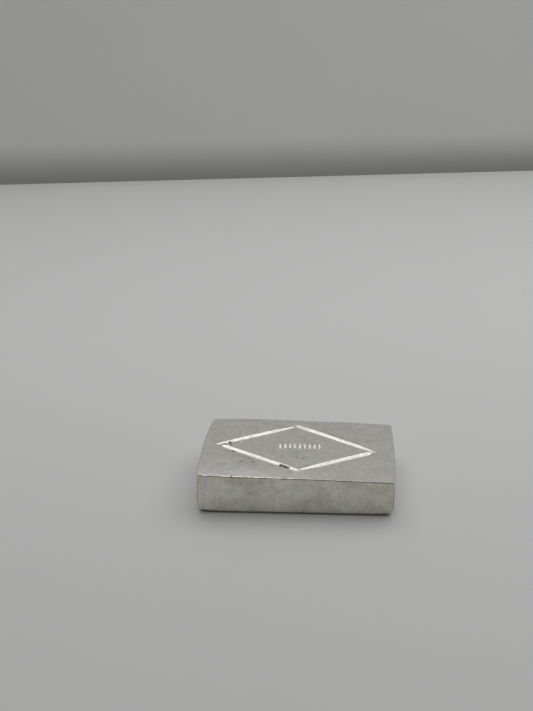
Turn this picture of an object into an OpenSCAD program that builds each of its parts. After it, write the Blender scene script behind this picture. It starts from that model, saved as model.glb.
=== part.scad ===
// A small hand-pressed silver bar: straight front and back, bulged ends, a sharp flashed
// top edge, and a rhombus of four chisel strokes round a row of plain nicks on its top.
// Millimetres, +Z up, origin at the middle of the underside, +X along the bar.

/* [Bar] */
// Length over the bulged ends
length = 49.5; // [35:0.1:80]
// Width over the flash at the top edge
width = 29.6; // [24:0.1:45]
// Thickness at the -X end
thick_end = 10.95; // [7:0.05:18]
// Thickness at the +X end
thin_end = 9.8; // [7:0.05:18]

/* [Ends and edges] */
// How far an end stands out at its middle, seen from above
end_bow = 0.45; // [0.2:0.05:1]
// How far the ends are out of square, in degrees: the bows lean to the front at -X, to the back at +X
end_lean = 2; // [0:0.25:3]
// How far an end stands out at half height, seen from the front
end_belly = 0.2; // [0.1:0.05:0.5]
// Rounding under the two ends
end_round = 1.4; // [0.5:0.1:2.5]
// Rounding under the front and the back
side_round = 0.8; // [0.3:0.1:2]
// Rounding of the upright corners
corner_round = 0.7; // [0.4:0.1:2]
// Rounding of the upright corner at -X and +Y, which is worn
worn_corner_round = 2.2; // [0.4:0.1:4]
// How far the flash stands out from the front and the back
flash_reach = 0.12; // [0.05:0.01:0.3]
// Height of the flash below the top
flash_height = 0.25; // [0.1:0.05:0.6]

/* [Rhombus] */
// From the rhombus's pointed corners to the ends of the bar
end_margin = 5.1; // [3:0.1:12]
// From the rhombus's blunt corners to the front and the back of the bar
side_margin = 3.6; // [1.5:0.05:8]
// Width of a stroke at the surface
stroke_width = 1.05; // [0.4:0.05:2]
// Depth of a stroke
stroke_depth = 0.42; // [0.1:0.02:1]
// Length over which a stroke tapers out at each end
stroke_taper = 1.6; // [0.5:0.1:4]
// How far the two back strokes run past the ends of the rhombus
stroke_overrun = 1.0; // [0:0.1:2]

/* [Row of nicks] */
// Number of nicks
nick_count = 9; // [3:1:15]
// Distance from one nick to the next
nick_pitch = 1.28; // [0.8:0.02:2]
// Radius of the round-nosed punch
nick_radius = 0.4; // [0.3:0.02:0.6]
// Length of a nick at its bottom, across the bar
nick_length = 1.5; // [0.4:0.1:3]
// Depth of a nick
nick_depth = 0.2; // [0.05:0.01:0.3]

/* [Hidden] */
$fn = 96;
// How far a cutting shape stands clear of the surface that it cuts
clear = 1;
// The share of its radius by which a rounding's circle reaches past the two faces it joins,
// so that it crosses each of them at a slight angle
reach_past = 0.01;
full_height = max(thick_end, thin_end);
body_width = width - 2 * flash_reach;
top_tilt = atan((thick_end - thin_end) / length);
mid_height = (thick_end + thin_end) / 2;
// Radius of an arc of the given chord and rise
function arc_radius(chord, rise) = (chord * chord / 4 + rise * rise) / (2 * rise);
rhombus_length = length - 2 * end_margin;
rhombus_width = width - 2 * side_margin;
bow_radius = arc_radius(width, end_bow);
belly_radius = arc_radius(full_height, end_belly);
bow_x = length / 2 - bow_radius;
bow_y = bow_radius * sin(end_lean);

// Moves its children onto the tilted top, with Z out of it
module on_top()
{
    translate([0, 0, mid_height])
    rotate([0, top_tilt, 0])
    children();
}

// Everything between the base and the tilted top, over an area larger than the bar
module between_faces()
{
    intersection()
    {
        translate([-length, -width, 0])
        cube([2 * length, 2 * width, 2 * full_height]);
        on_top()
        translate([-1.5 * length, -2 * width, -2 * full_height])
        cube([3 * length, 4 * width, 2 * full_height]);
    }
}

// What a rounding takes off the lower right corner of a section whose sides meet at
// [side_x, 0], drawn for a right side that may lean or bulge a little
module lower_trim(side_x, radius)
{
    centre_x = side_x - radius * (1 - reach_past);
    difference()
    {
        translate([centre_x, -2 * clear])
        square([radius + 2 * clear, radius + 2 * clear]);
        translate([centre_x, radius * (1 - reach_past)])
        circle(radius);
    }
}

// Half of an end's upright profile, drawn from the bow's centre line out to the end
module end_profile()
{
    belly_x = bow_radius - belly_radius;
    foot_rise = full_height / 2 - end_round;
    foot_x = belly_x + sqrt(belly_radius * belly_radius - foot_rise * foot_rise);
    difference()
    {
        intersection()
        {
            translate([0, -clear])
            square([bow_radius, full_height + 2 * clear]);
            translate([belly_x, full_height / 2])
            circle(belly_radius, $fn = 360);
        }
        lower_trim(foot_x, end_round);
    }
}

// A barrel whose wall is the bulged end at +X; turned half round, it is the end at -X
module end_barrel()
{
    translate([bow_x, bow_y, 0])
    rotate([0, 0, 180])
    rotate_extrude($fn = 720)
    end_profile();
}

// The section across the bar, rounded underneath
module cross_section()
{
    difference()
    {
        translate([-body_width / 2, -clear])
        square([body_width, full_height + 2 * clear]);
        lower_trim(body_width / 2, side_round);
        mirror([1, 0]) lower_trim(body_width / 2, side_round);
    }
}

// The bar's straight stock, longer than the bar, with no end shape
module stock()
{
    translate([-length, 0, 0])
    rotate([90, 0, 90])
    linear_extrude(2 * length)
    cross_section();
}

// The thin flash that the press left along the top edge of the front and the back
module flash()
{
    on_top()
    translate([-length, -width / 2, -flash_height])
    cube([2 * length, width, flash_height + clear]);
}

// What a rounding takes off the upright corner at +X, on the back (side 1) or the front (side -1)
module corner_trim(side, radius)
{
    inset = radius * (1 - reach_past);
    centre_y = side * (width / 2 - inset);
    centre_x = bow_x + sqrt(pow(bow_radius - inset, 2) - pow(centre_y - bow_y, 2));
    translate([centre_x, centre_y])
    mirror([0, 1 - side])
    difference()
    {
        square(radius + clear);
        circle(radius);
    }
}

module corner_trims()
{
    translate([0, 0, -clear])
    linear_extrude(full_height + 2 * clear)
    {
        corner_trim(1, corner_round);
        corner_trim(-1, corner_round);
        rotate([0, 0, 180])
        {
            corner_trim(1, corner_round);
            corner_trim(-1, worn_corner_round);
        }
    }
}

// The bar before anything is struck into it
module blank()
{
    difference()
    {
        intersection()
        {
            union()
            {
                stock();
                flash();
            }
            between_faces();
            end_barrel();
            rotate([0, 0, 180]) end_barrel();
        }
        corner_trims();
    }
}

// A chisel stroke's cutting shape: a V keel that rises to a point at each end. Its walls
// carry on above the surface, so that at the surface it is stroke_width wide and run long.
module stroke(run)
{
    keel_start = stroke_taper;
    keel_end = run - stroke_taper;
    polyhedron(
        points = [
            [keel_start, 0, -stroke_depth],
            [keel_end, 0, -stroke_depth],
            [-stroke_taper, 0, stroke_depth],
            [keel_start, -stroke_width, stroke_depth],
            [keel_end, -stroke_width, stroke_depth],
            [run + stroke_taper, 0, stroke_depth],
            [keel_end, stroke_width, stroke_depth],
            [keel_start, stroke_width, stroke_depth]
        ],
        faces = [
            [7, 6, 5, 4, 3, 2],
            [0, 3, 4, 1],
            [0, 1, 6, 7],
            [2, 3, 0],
            [2, 0, 7],
            [5, 1, 4],
            [5, 6, 1]
        ]
    );
}

// The four strokes; the two at the back run on past the ends of the rhombus
module rhombus()
{
    half_x = rhombus_length / 2;
    half_y = rhombus_width / 2;
    run = norm([half_x, half_y]);
    slope = atan(half_y / half_x);
    for (side = [0, 1])
        mirror([side, 0, 0])
        {
            translate([-half_x, 0, 0])
            rotate([0, 0, slope])
            translate([-stroke_overrun, 0, 0])
            stroke(run + stroke_overrun);
            translate([-half_x, 0, 0])
            rotate([0, 0, -slope])
            stroke(run);
        }
}

// One nick's punch: a bar with a round nose all round
module nick()
{
    translate([0, 0, nick_radius - nick_depth])
    {
        rotate([90, 0, 0])
        cylinder(r = nick_radius, h = nick_length, center = true);
        for (end = [-1, 1])
            translate([0, end * nick_length / 2, 0])
            sphere(nick_radius);
    }
}

module nicks()
{
    for (i = [0 : nick_count - 1])
        translate([(i - (nick_count - 1) / 2) * nick_pitch, 0, 0])
        nick();
}

module ingot()
{
    color([0.80, 0.79, 0.76])
    difference()
    {
        blank();
        on_top()
        {
            rhombus();
            nicks();
        }
    }
}

ingot();
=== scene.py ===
"""A small hand-pressed silver bar on pale paper, under soft studio light.

The bar is one piece of metal. Its skin is built as one closed mesh: a top with a pressed
rim, four chiselled strokes and a row of punched nicks, the four walls, and the underside.
Sizes below are in millimetres and are turned into metres when a mesh is made.
"""

import logging
import math
from collections.abc import Callable
from dataclasses import dataclass, field
from enum import Enum

import bpy
import numpy as np
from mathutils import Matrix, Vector
from mathutils.geometry import delaunay_2d_cdt
from mathutils.kdtree import KDTree

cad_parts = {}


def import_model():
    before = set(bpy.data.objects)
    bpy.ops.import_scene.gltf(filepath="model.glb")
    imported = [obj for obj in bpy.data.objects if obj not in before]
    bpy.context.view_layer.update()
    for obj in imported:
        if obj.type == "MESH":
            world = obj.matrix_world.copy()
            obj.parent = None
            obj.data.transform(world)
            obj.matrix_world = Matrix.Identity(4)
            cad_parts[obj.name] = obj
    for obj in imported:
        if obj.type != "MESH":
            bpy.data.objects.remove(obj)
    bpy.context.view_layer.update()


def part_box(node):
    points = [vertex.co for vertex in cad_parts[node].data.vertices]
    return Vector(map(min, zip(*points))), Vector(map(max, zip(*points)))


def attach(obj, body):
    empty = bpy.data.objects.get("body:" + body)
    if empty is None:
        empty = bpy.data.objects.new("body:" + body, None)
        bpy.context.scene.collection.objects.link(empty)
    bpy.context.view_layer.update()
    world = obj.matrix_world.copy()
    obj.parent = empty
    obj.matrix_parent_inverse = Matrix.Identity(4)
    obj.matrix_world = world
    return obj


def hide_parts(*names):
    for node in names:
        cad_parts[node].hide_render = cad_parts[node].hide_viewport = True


MM = 0.001
CORNER_POINTS = 400  # points of a neighbouring side that are tried for a corner
CLOSEST = 0.035  # points of the top nearer than this to each other count as one, mm
PIT_SEED, SCRATCH_SEED, POINT_SEED = 77, 78, 9
log = logging.getLogger("silver_bar")


class Side(Enum):
    """A side of the bar, seen from above."""

    FRONT = 0
    THIN_END = 1
    BACK = 2
    THICK_END = 3


class Tip(Enum):
    """How a chisel stroke begins or ends."""

    POINTED = "pointed"
    BLUNT = "blunt"


# --------------------------------------------------------------------------- helpers


def smooth_step(value: np.ndarray, low: float, high: float) -> np.ndarray:
    """A smooth rise from nought at low to one at high.

    Args:
        value: Numbers to place on the rise.
        low: Where the rise starts.
        high: Where the rise ends; below low for a fall.

    Returns:
        Numbers from nought to one.
    """
    t = np.clip((np.asarray(value, float) - low) / (high - low), 0.0, 1.0)
    return t * t * (3.0 - 2.0 * t)


@dataclass(frozen=True)
class Ripple:
    """A smooth, seeded unevenness made of crossing waves, about one high.

    Attributes:
        seed: Picks the waves.
        shortest: Shortest wave, mm.
        longest: Longest wave, mm.
        waves: How many waves are added up.
    """

    seed: int
    shortest: float
    longest: float
    waves: int = 18

    def at(self, x: np.ndarray, y: np.ndarray | float = 0.0) -> np.ndarray:
        """The unevenness at given places.

        Args:
            x: First coordinate, mm.
            y: Second coordinate, mm.

        Returns:
            Heights, mostly between -1 and 1.
        """
        rng = np.random.default_rng(self.seed)
        x = np.asarray(x, float)
        total = np.zeros(np.broadcast(x, np.asarray(y)).shape)
        for _ in range(self.waves):
            length = self.shortest * (self.longest / self.shortest) ** rng.random()
            turn = rng.random() * 2.0 * math.pi
            phase = rng.random() * 2.0 * math.pi
            k = 2.0 * math.pi / length
            total += np.sin(k * (x * math.cos(turn) + y * math.sin(turn)) + phase)
        return total / math.sqrt(self.waves / 2.0) * 0.6


def _inside_row(points: np.ndarray, ring: np.ndarray) -> np.ndarray:
    """Which points lie inside a closed row of points.

    Args:
        points: The points to try, mm.
        ring: The closed row, mm.

    Returns:
        True for each point inside.
    """
    x, y = points[:, :1], points[:, 1:]
    x1, y1 = ring[None, :, 0], ring[None, :, 1]
    x2, y2 = np.roll(ring, -1, 0)[None, :, 0], np.roll(ring, -1, 0)[None, :, 1]
    spans = (y1 > y) != (y2 > y)
    safe = np.where(y2 == y1, 1.0, y2 - y1)
    crossings = spans & (x < x1 + (y - y1) * (x2 - x1) / safe)
    return crossings.sum(1) % 2 == 1


# --------------------------------------------------------------------------- the bar


@dataclass(frozen=True)
class Outline:
    """The bar's outline at its top edge, as pressed: none of its sides is quite true.

    Attributes:
        half_length: Half the length over the bows, mm.
        half_width: Half the width over the rims, mm.
        thick_bow_radius: Radius of the bow at the thick end.
        thick_bow_middle: Where along the thick end its bow stands out furthest.
        thin_bow_radius: Radius of the bow at the thin end.
        thin_bow_middle: Where along the thin end its bow stands out furthest.
        front_gap: How far the front stands back from the half width.
        back_gap: How far the back stands back from it.
        back_droop: How far the back falls away towards its two ends.
        corner: Radius of the three sound corners.
        worn_corner: Radius of the worn corner, at the back of the thick end.
        front_step: Spacing of points along the front.
        other_step: Spacing of points along the other sides.
    """

    half_length: float
    half_width: float
    thick_bow_radius: float = 140.0
    thick_bow_middle: float = -9.5
    thin_bow_radius: float = 205.0
    thin_bow_middle: float = 6.5
    front_gap: float = 0.18
    back_gap: float = 0.05
    back_droop: float = 0.36
    corner: float = 0.45
    worn_corner: float = 1.45
    front_step: float = 0.10
    other_step: float = 0.17

    def thick_x(self, y: np.ndarray | float) -> np.ndarray | float:
        """Where the thick end stands, along the bar."""
        return -self.half_length + (y - self.thick_bow_middle) ** 2 / (2 * self.thick_bow_radius)

    def thin_x(self, y: np.ndarray | float) -> np.ndarray | float:
        """Where the thin end stands, along the bar."""
        return self.half_length - (y - self.thin_bow_middle) ** 2 / (2 * self.thin_bow_radius)

    def front_y(self, x: np.ndarray) -> np.ndarray:
        """Where the front stands, across the bar."""
        return -self.half_width + self.front_gap + 0.05 * Ripple(11, 9.0, 40.0).at(x)

    def back_y(self, x: np.ndarray) -> np.ndarray:
        """Where the back stands, across the bar."""
        fall = self.back_droop * (smooth_step(-x, 11.0, 23.0) * 1.9 + smooth_step(x, 12.0, 24.0))
        return self.half_width - self.back_gap - fall + 0.03 * Ripple(12, 7.0, 30.0).at(x)

    def ring(self) -> tuple[np.ndarray, np.ndarray, np.ndarray]:
        """Walks once round the outline, anticlockwise from the front of the thick end.

        Returns:
            Points, outward normals, and the number of the side that each point is on.
        """
        n_front = int(2 * self.half_length / self.front_step)
        n_back = int(2 * self.half_length / self.other_step)
        n_end = int(2 * self.half_width / self.other_step)
        xs = np.linspace(-1.02, 1.02, 4 * n_front) * self.half_length
        ys = np.linspace(-1.02, 1.02, 4 * n_end) * self.half_width
        sides = [
            np.stack([xs, self.front_y(xs)], 1),
            np.stack([self.thin_x(ys), ys], 1),
            np.stack([xs[::-1], self.back_y(xs[::-1])], 1),
            np.stack([self.thick_x(ys[::-1]), ys[::-1]], 1),
        ]
        radii = [self.corner, self.corner * 1.2, self.worn_corner, self.corner]
        counts = [n_front, n_end, n_back, n_end]
        trimmed = [self._between(sides[i - 1], sides[i], sides[(i + 1) % 4]) for i in range(4)]
        pieces, owners = [], []
        for i in range(4):
            here, following = trimmed[i], trimmed[(i + 1) % 4]
            start, stop = radii[i - 1], radii[i]
            line = self._resample(here, start, stop, counts[i])
            next_line = self._resample(following, stop, radii[(i + 1) % 4], counts[(i + 1) % 4])
            pieces += [line, self._arc(line[-1], here[-1], next_line[0], radii[i])]
            owners += [np.full(len(line), i), np.full(len(pieces[-1]), i + 0.5)]
        points = np.concatenate(pieces)
        owner = np.concatenate(owners)
        ahead, behind = np.roll(points, -1, 0), np.roll(points, 1, 0)
        along = ahead - behind
        along /= np.linalg.norm(along, axis=1)[:, None]
        return points, np.stack([along[:, 1], -along[:, 0]], 1), owner

    @staticmethod
    def _between(before: np.ndarray, line: np.ndarray, after: np.ndarray) -> np.ndarray:
        """Cuts a side off where it meets the sides before and after it.

        Args:
            before: Points of the side before it, mm.
            line: Points of the side itself.
            after: Points of the side after it.

        Returns:
            The points of the side that are left.
        """
        first = np.argmin(np.linalg.norm(line[:, None] - before[None, -CORNER_POINTS:], axis=2).min(1))
        last = np.argmin(np.linalg.norm(line[:, None] - after[None, :CORNER_POINTS], axis=2).min(1))
        return line[first : last + 1]

    @staticmethod
    def _resample(line: np.ndarray, skip_start: float, skip_end: float, count: int) -> np.ndarray:
        """Spaces points evenly along a line, leaving room at both ends for the corners.

        Args:
            line: Points of the line, mm.
            skip_start: Room left at its start.
            skip_end: Room left at its end.
            count: How many points to space.

        Returns:
            The new points.
        """
        steps = np.linalg.norm(np.diff(line, axis=0), axis=1)
        run = np.concatenate([[0.0], np.cumsum(steps)])
        wanted = np.linspace(skip_start, run[-1] - skip_end, count)
        return np.stack([np.interp(wanted, run, line[:, 0]), np.interp(wanted, run, line[:, 1])], 1)

    @staticmethod
    def _arc(start: np.ndarray, corner: np.ndarray, stop: np.ndarray, radius: float) -> np.ndarray:
        """Rounds a corner.

        Args:
            start: Where the rounding starts, mm.
            corner: Where the two sides would meet.
            stop: Where the rounding stops.
            radius: Its radius.

        Returns:
            Points of the rounding, without its two ends.
        """
        count = max(4, int(radius / 0.11))
        t = np.linspace(0, 1, count + 2)[1:-1, None]
        weight = math.sqrt(0.5)
        near, mid, far = (1 - t) ** 2, 2 * weight * t * (1 - t), t**2
        return (near * start + mid * corner + far * stop) / (near + mid + far)


@dataclass(frozen=True)
class Stroke:
    """One chisel stroke: a V-shaped cut that runs straight across the top.

    Attributes:
        start: Where it begins, mm.
        stop: Where it ends, mm.
        half_width: Half its width where it is widest.
        depth: Its depth where it is widest.
        head: How it begins.
        tail: How it ends.
        lean: How far its keel lies off the middle, as a share of its half width.
        seed: Picks its unevenness.
        level: Length between two blows of the chisel.
        band: How far past its rims its own close-set points reach.
        end_band: How far past its two tips they reach.
    """

    start: tuple[float, float]
    stop: tuple[float, float]
    half_width: float
    depth: float
    head: Tip
    tail: Tip
    lean: float
    seed: int
    level: float = 0.62
    band: float = 0.42
    end_band: float = 0.38

    @property
    def run(self) -> float:
        """Length of the stroke."""
        return math.dist(self.start, self.stop)

    def local(self, x: np.ndarray, y: np.ndarray) -> tuple[np.ndarray, np.ndarray]:
        """Finds points of the top by the stroke's own directions.

        Args:
            x: Places along the bar, mm.
            y: Places across it, mm.

        Returns:
            Distances along the stroke, and to the left of it.
        """
        ux, uy = self._direction()
        dx, dy = x - self.start[0], y - self.start[1]
        return dx * ux + dy * uy, -dx * uy + dy * ux

    def place(self, along: np.ndarray, left: np.ndarray) -> tuple[np.ndarray, np.ndarray]:
        """Points of the top for distances along the stroke and to the left of it."""
        ux, uy = self._direction()
        return self.start[0] + along * ux - left * uy, self.start[1] + along * uy + left * ux

    def _direction(self) -> tuple[float, float]:
        """Unit vector along the stroke."""
        return (self.stop[0] - self.start[0]) / self.run, (self.stop[1] - self.start[1]) / self.run

    def swell(self, along: np.ndarray) -> np.ndarray:
        """How full the stroke is, from nought at a point to one in its middle.

        Args:
            along: Distances along the stroke, mm.

        Returns:
            Share of the full width and depth.
        """
        reach = {Tip.POINTED: 7.0, Tip.BLUNT: 1.4}
        least = {Tip.POINTED: 0.40, Tip.BLUNT: 0.75}
        head, tail = reach[self.head], reach[self.tail]
        into = least[self.head] + (1 - least[self.head]) * smooth_step(along, 0.0, head)
        out = least[self.tail] + (1 - least[self.tail]) * smooth_step(along, self.run, self.run - tail)
        closing = np.sqrt(np.clip(along / 0.8, 0, 1)) * np.sqrt(np.clip((self.run - along) / 0.8, 0, 1))
        uneven = 1.0 + 0.05 * Ripple(self.seed, 1.6, 7.0).at(along)
        return into * out * closing * uneven

    def blows(self, along: np.ndarray) -> np.ndarray:
        """The stepped keel that separate blows leave, from nought to one."""
        shifted = along + 0.25 * Ripple(self.seed + 50, 1.5, 6.0).at(along)
        return 0.5 + 0.5 * np.sin(2 * math.pi * shifted / self.level)

    def section(self, along: np.ndarray, left: np.ndarray) -> tuple[np.ndarray, np.ndarray, np.ndarray]:
        """The cut, the ridge that it threw up, and how bright the metal is there.

        Args:
            along: Distances along the stroke, mm.
            left: Distances to the left of it, mm.

        Returns:
            Depth below the top, height of the ridge, and brightness from 0 to 1.
        """
        full = self.swell(along)
        edge = 0.022 * Ripple(self.seed + 9, 0.6, 2.6).at(along, np.sign(left) * 3.0)
        half = np.maximum(self.half_width * full + edge * (full > 0), 1e-3)
        keel = self.lean * half
        away = np.where(left > keel, (left - keel) / (half - keel), (keel - left) / (half + keel))
        inside = (along > 0) & (along < self.run) & (away < 1)
        depth = self.depth * full * (1 - 0.16 * self.blows(along))
        cut = np.where(inside, depth * (1 - away), 0.0)
        beyond = np.abs(left) - half
        ridge = 0.03 * np.exp(-(((beyond - 0.07) / 0.075) ** 2)) * np.clip(full, 0, 1)
        ridge *= np.clip(0.75 + 0.6 * Ripple(self.seed + 23, 0.7, 2.5).at(along, np.sign(left) * 5.0), 0, 2)
        on_line = (along > 0) & (along < self.run)
        ridge = np.where(on_line & ~inside, ridge, 0.0)
        bright = np.where((along > -0.05) & (along < self.run + 0.05), smooth_step(beyond, 0.15, 0.02), 0.0)
        return cut, ridge, bright

    def grid(self, spacing: float = 0.14) -> np.ndarray:
        """Points that follow the stroke's rims and keel closely.

        Args:
            spacing: Distance between rows along the stroke, mm.

        Returns:
            Points of the top, one a row.
        """
        along = np.arange(-0.35, self.run + 0.36, spacing)
        full = np.maximum(self.swell(np.clip(along, 0.15, self.run - 0.15)), 0.35)
        half = self.half_width * full
        keel = self.lean * half
        rows = [keel]
        for share in (0.33, 0.66, 0.9, 1.0):
            rows += [keel + (half - keel) * share, keel - (half + keel) * share]
        for out in (0.06, 0.13, 0.24, self.band):
            rows += [half + out, -half - out]
        made = [np.stack(self.place(along, left), 1) for left in rows]
        return np.concatenate(made)


@dataclass(frozen=True)
class Tarnish:
    """A stretch of a stroke that has gone yellow again.

    Attributes:
        stroke: Number of the stroke in the rhombus.
        middle: Middle of the stretch, mm along the stroke.
        half_length: Half its length.
        upper_edge: How far up the far wall it reaches, to the left of the stroke's line.
    """

    stroke: int
    middle: float
    half_length: float
    upper_edge: float = 9.0

    def share(self, along: np.ndarray, left: np.ndarray) -> np.ndarray:
        """How yellow the stretch is.

        Args:
            along: Distances along the stroke, mm.
            left: Distances to the left of it, mm.

        Returns:
            Share of the full yellow, from 0 to 1.
        """
        spread = smooth_step(np.abs(along - self.middle), self.half_length + 0.6, self.half_length - 0.8)
        side = smooth_step(left, self.upper_edge, self.upper_edge - 0.35)
        return spread * (side * smooth_step(np.abs(left), 1.1, 0.8))


@dataclass(frozen=True)
class NickRow:
    """The row of plain upright nicks that a small toothed punch made inside the rhombus.

    Attributes:
        middle: Middle of the row, mm.
        turn: How far the row is turned from the bar, in degrees.
        count: Number of nicks.
        pitch: Distance from one nick to the next.
        mouth: Half the width of a nick.
        reach: Length of a nick.
        depth: Depth of a nick.
        teeth: Number of teeth that a blow leaves along a nick.
        seed: Picks how the blows stray.
    """

    middle: tuple[float, float] = (0.45, 1.15)
    turn: float = 2.5
    count: int = 9
    pitch: float = 1.26
    mouth: float = 0.27
    reach: float = 2.1
    depth: float = 0.24
    teeth: int = 3
    seed: int = 5

    def nicks(self) -> list[tuple[float, float, float, float]]:
        """Sets the nicks out, each a little off its true place.

        Returns:
            Middle, lean in radians and depth of every nick.
        """
        rng = np.random.default_rng(self.seed)
        c, s = math.cos(math.radians(self.turn)), math.sin(math.radians(self.turn))
        made = []
        for i in range(self.count):
            along = (i - (self.count - 1) / 2) * self.pitch + rng.normal(0, 0.04)
            up = rng.normal(0, 0.07)
            lean = math.radians(self.turn + rng.normal(0, 4.0))
            deep = self.depth * (1 + rng.normal(0, 0.1))
            x, y = self.middle[0] + along * c - up * s, self.middle[1] + along * s + up * c
            made.append((x, y, lean, deep))
        return made

    def section(self, x: np.ndarray, y: np.ndarray) -> tuple[np.ndarray, np.ndarray, np.ndarray]:
        """The nicks' depth, the lips round them, and how bright the metal is there.

        Args:
            x: Places along the bar, mm.
            y: Places across it, mm.

        Returns:
            Depth below the top, height of the lip, and brightness from 0 to 1.
        """
        cut, lip, bright = np.zeros_like(x), np.zeros_like(x), np.zeros_like(x)
        for mx, my, lean, deep in self.nicks():
            c, s = math.cos(lean), math.sin(lean)
            across, up = (x - mx) * c + (y - my) * s, -(x - mx) * s + (y - my) * c
            off = np.hypot(across, np.maximum(np.abs(up) - (self.reach / 2 - self.mouth), 0.0))
            tooth = np.mod(np.clip(0.5 - up / self.reach, 0.0, 0.999) * self.teeth, 1.0)
            bite = np.where(tooth < 0.8, tooth / 0.8, (1.0 - tooth) / 0.2)
            bowl = np.clip(1.3 - 1.3 * (off / self.mouth) ** 4, 0.0, 1.0)
            cut = np.maximum(cut, deep * (0.40 + 0.60 * bite) * bowl)
            lip = np.maximum(lip, 0.008 * np.exp(-(((off - self.mouth - 0.07) / 0.06) ** 2)))
            bright = np.maximum(bright, smooth_step(off, self.mouth + 0.12, self.mouth))
        return cut, np.where(cut > 0, 0.0, lip), bright

    def grid(self, spacing: float = 0.085) -> np.ndarray:
        """Sets points close together over the row.

        Args:
            spacing: Distance from one point to the next, mm.

        Returns:
            Points of the top, one a row.
        """
        half_x, half_y = self.half_size()
        u, v = np.meshgrid(np.arange(-half_x, half_x, spacing), np.arange(-half_y, half_y, spacing))
        c, s = math.cos(math.radians(self.turn)), math.sin(math.radians(self.turn))
        u, v = u.ravel(), v.ravel()
        return np.stack([self.middle[0] + u * c - v * s, self.middle[1] + u * s + v * c], 1)

    def half_size(self) -> tuple[float, float]:
        """Half the length and half the width of the close-set patch."""
        return self.count * self.pitch / 2 + 0.15, self.reach / 2 + 0.4

    def covers(self, points: np.ndarray) -> np.ndarray:
        """Tells which points lie in the close-set patch.

        Args:
            points: Points of the top, mm.

        Returns:
            True for each point in the patch.
        """
        half_x, half_y = self.half_size()
        c, s = math.cos(math.radians(self.turn)), math.sin(math.radians(self.turn))
        dx, dy = points[:, 0] - self.middle[0], points[:, 1] - self.middle[1]
        return (np.abs(dx * c + dy * s) < half_x + 0.05) & (np.abs(-dx * s + dy * c) < half_y + 0.05)


@dataclass(frozen=True)
class Pit:
    """A small dent or casting hole in the top.

    Attributes:
        x: Place along the bar, mm.
        y: Place across it, mm.
        radius: Its radius.
        depth: Its depth.
        dirt_and_shade: How dark it is painted, from 0 to 1: dirt for most pits, painted shadow for two.
    """

    x: float
    y: float
    radius: float
    depth: float
    dirt_and_shade: float

    def section(self, x: np.ndarray, y: np.ndarray) -> tuple[np.ndarray, np.ndarray]:
        """The pit's depth, and its dirt and painted shade.

        Args:
            x: Places along the bar, mm.
            y: Places across it, mm.

        Returns:
            Depth below the top, and dirt and painted shade from 0 to 1.
        """
        off = np.hypot(x - self.x, y - self.y) / self.radius
        off = off * (1 + 0.18 * np.sin(3 * np.arctan2(y - self.y, x - self.x) + self.x))
        bowl = np.where(off < 1, (1 - off**2) ** 2, 0.0)
        return self.depth * bowl, self.dirt_and_shade * smooth_step(off, 1.1, 0.7)

    def grid(self, spacing: float = 0.07) -> np.ndarray:
        """Sets points close together over the pit.

        Args:
            spacing: Distance from one point to the next, mm.

        Returns:
            Points of the top, one a row.
        """
        reach = self.radius * 1.3
        u, v = np.meshgrid(np.arange(-reach, reach, spacing), np.arange(-reach, reach, spacing))
        keep = np.hypot(u, v) < reach
        return np.stack([self.x + u[keep], self.y + v[keep]], 1)


@dataclass(frozen=True)
class Scratch:
    """A fine scratch in the top.

    Attributes:
        start: Where it begins, mm.
        stop: Where it ends, mm.
        depth: Its depth.
        dirt_and_shade: How dark it is painted, from 0 to 1: dirt for most scratches, painted shadow for one.
        half_width: Half its width.
    """

    start: tuple[float, float]
    stop: tuple[float, float]
    depth: float = 0.022
    dirt_and_shade: float = 0.35
    half_width: float = 0.08

    def local(self, x: np.ndarray, y: np.ndarray) -> tuple[np.ndarray, np.ndarray]:
        """Finds points of the top by the scratch's own direction.

        Args:
            x: Places along the bar, mm.
            y: Places across it, mm.

        Returns:
            Share of the way along the scratch, and distance from it.
        """
        dx, dy = self.stop[0] - self.start[0], self.stop[1] - self.start[1]
        run = math.hypot(dx, dy)
        px, py = x - self.start[0], y - self.start[1]
        return (px * dx + py * dy) / run**2, np.abs(-px * dy + py * dx) / run

    def section(self, x: np.ndarray, y: np.ndarray) -> tuple[np.ndarray, np.ndarray]:
        """The scratch's depth, and its dirt and painted shade.

        Args:
            x: Places along the bar, mm.
            y: Places across it, mm.

        Returns:
            Depth below the top, and dirt and painted shade from 0 to 1.
        """
        share, off = self.local(x, y)
        fade = np.clip(4 * share * (1 - share), 0, 1)
        here = fade * smooth_step(off, self.half_width, 0.0)
        return self.depth * here, self.dirt_and_shade * here

    def grid(self, spacing: float = 0.22) -> np.ndarray:
        """Sets three rows of points along the scratch.

        Args:
            spacing: Distance from one point to the next, mm.

        Returns:
            Points of the top, one a row.
        """
        dx, dy = self.stop[0] - self.start[0], self.stop[1] - self.start[1]
        run = math.hypot(dx, dy)
        share = np.linspace(0, 1, max(3, int(run / spacing)))
        base = np.stack([self.start[0] + share * dx, self.start[1] + share * dy], 1)
        across = np.array([-dy, dx]) / run * self.half_width
        return np.concatenate([base - across, base, base + across])


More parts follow.
